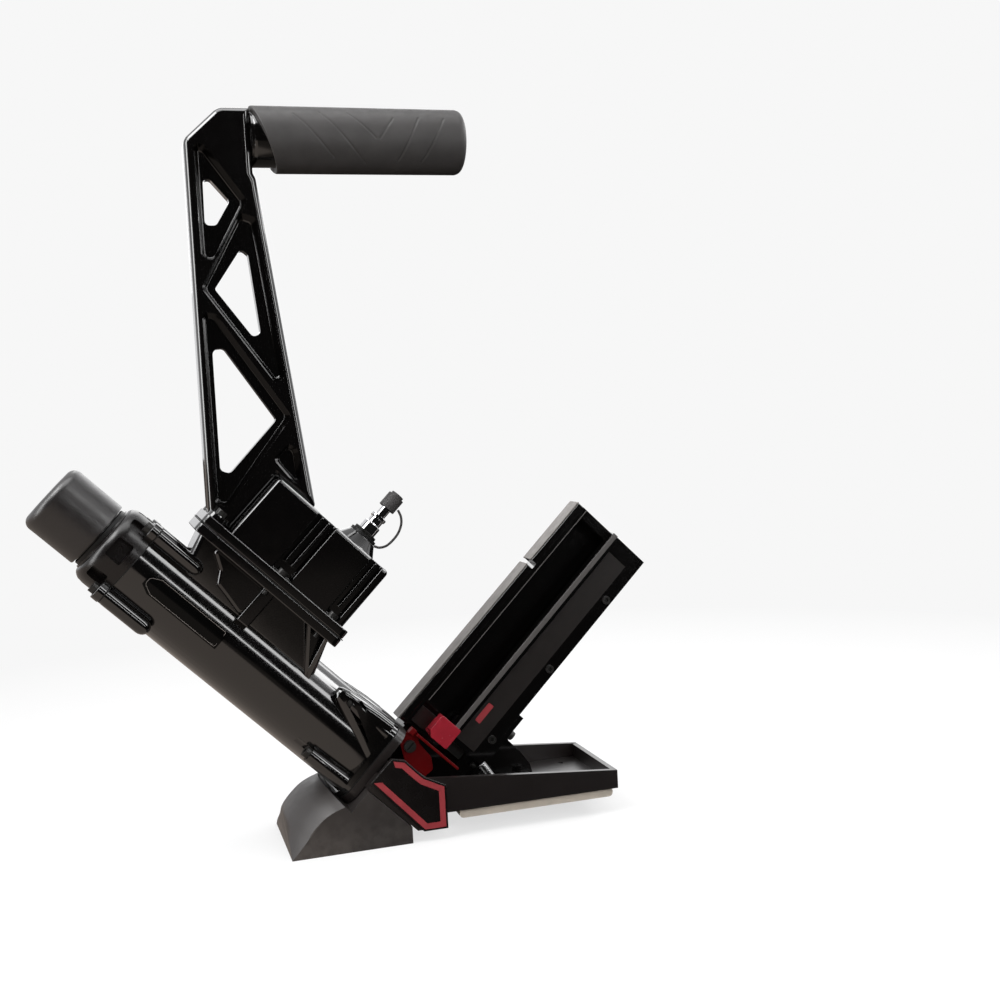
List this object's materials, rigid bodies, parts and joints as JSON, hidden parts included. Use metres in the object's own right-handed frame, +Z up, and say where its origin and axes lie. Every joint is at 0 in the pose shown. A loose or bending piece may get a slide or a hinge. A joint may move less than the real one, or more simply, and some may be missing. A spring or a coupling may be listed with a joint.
{
  "type": "flooring nailer",
  "caption": "Pneumatic flooring nailer with a mallet-struck cap over a slanted barrel, a truss handle with a rubber grip, a side air chamber, an angled magazine and a stepped foot.",
  "frame": {"origin": "centre of the sole plate's underside, which rests on the flooring board", "axes": "+X towards the heel, +Y across the tool, +Z up; the driver axis lies in the X-Z plane at 45 degrees"},
  "size_m": [0.4571, 0.0964, 0.5383],
  "materials": {
    "black_casting": "gloss black enamel on a casting",
    "satin_casting": "satin black coated casting",
    "plated_steel": "zinc plated",
    "black_steel": "black oxide",
    "blade_steel": "ground spring steel",
    "aluminium": "turned",
    "chrome": "bright plated",
    "rubber": "matte",
    "seal": "matte",
    "shoe": "matte moulded nylon",
    "sole": "matte tan nylon",
    "red_steel": "gloss red coated",
    "red_ink": "printed film",
    "badge": "gloss film",
    "label": "printed film",
    "rail": "brushed steel",
    "acetal": "turned acetal"
  },
  "bodies": {
    "frame": {"base_frame": "satin_casting", "sole_plate": "sole", "sole_screws": "plated_steel", "front_shoe": "shoe", "shoe_screws": "black_steel", "guide_plate_near": "satin_casting", "guide_plate_far": "satin_casting", "tongue_decals": "red_ink", "nose_front": "blade_steel", "nose_rear": "blade_steel", "nose_screws": "black_steel", "foot_gasket": "seal", "foot_screws": "black_steel", "body_housing": "black_casting", "chamber_mount": "black_casting", "name_badge": "badge", "cylinder_sleeve": "aluminium", "sleeve_rings": "seal", "bottom_bumper": "rubber", "head_valve_spring": "plated_steel", "valve_guide": "aluminium", "ram_spring": "plated_steel", "ram_seal": "seal", "head_gasket": "seal", "head_cap": "black_casting", "head_screws": "black_steel", "chamber_gasket": "seal", "air_chamber": "black_casting", "chamber_screws": "black_steel", "handle_arm": "black_casting", "grip_core": "black_casting", "grip_sleeve": "rubber", "inlet_washer": "seal", "inlet_bushing": "black_steel", "air_plug": "chrome", "cap_tether": "rubber", "magazine_body": "black_casting", "top_rails": "rail", "magazine_cover": "black_casting", "cover_screws": "black_steel", "feed_gate": "black_casting", "magazine_end": "black_casting", "label_plate": "label", "latch_pin": "black_steel", "support_bracket": "black_casting", "bracket_screws": "black_steel", "magazine_bolts": "black_steel"},
    "striker": {"strike_cap": "rubber", "ram": "plated_steel"},
    "valve": {"head_valve": "acetal"},
    "piston": {"main_piston": "aluminium", "piston_ring": "seal", "driver_blade": "blade_steel", "blade_pin": "plated_steel"},
    "pusher": {"pusher": "blade_steel", "pusher_knob": "red_steel", "feed_spring": "blade_steel"},
    "latch": {"release_latch": "red_steel"},
    "dust_cap": {"dust_cap": "rubber"}
  },
  "joints": [
    {"name": "strike_cap_press", "type": "slide", "parent": "frame", "child": "striker", "axis": [0.7071, 0, -0.7071], "range_m": [0, 0.0035], "stiffness_N_per_m": 2500, "springref_m": -0.002, "deforming": ["ram_spring"]},
    {"name": "head_valve_lift", "type": "slide", "parent": "frame", "child": "valve", "axis": [-0.7071, 0, 0.7071], "range_m": [0, 0.005], "deforming": ["head_valve_spring"]},
    {"name": "piston_stroke", "type": "slide", "parent": "frame", "child": "piston", "axis": [0.7071, 0, -0.7071], "range_m": [0, 0.09]},
    {"name": "pusher_slide", "type": "slide", "parent": "frame", "child": "pusher", "axis": [0.7071, 0, 0.7071], "range_m": [0, 0.172], "stiffness_N_per_m": 20, "springref_m": -0.15},
    {"name": "release_latch_turn", "type": "hinge", "parent": "frame", "child": "latch", "pos_m": [-0.09226, -0.023, 0.05445], "axis": [0, 1, 0], "range_deg": [0, 40]},
    {"name": "dust_cap_pull", "type": "slide", "parent": "frame", "child": "dust_cap", "axis": [0.7071, 0, 0.7071], "range_m": [0, 0.012], "deforming": ["cap_tether"]}
  ],
  "couplings": [
    {"joint": "head_valve_lift", "follows": "strike_cap_press", "ratio": 1.4281}
  ]
}
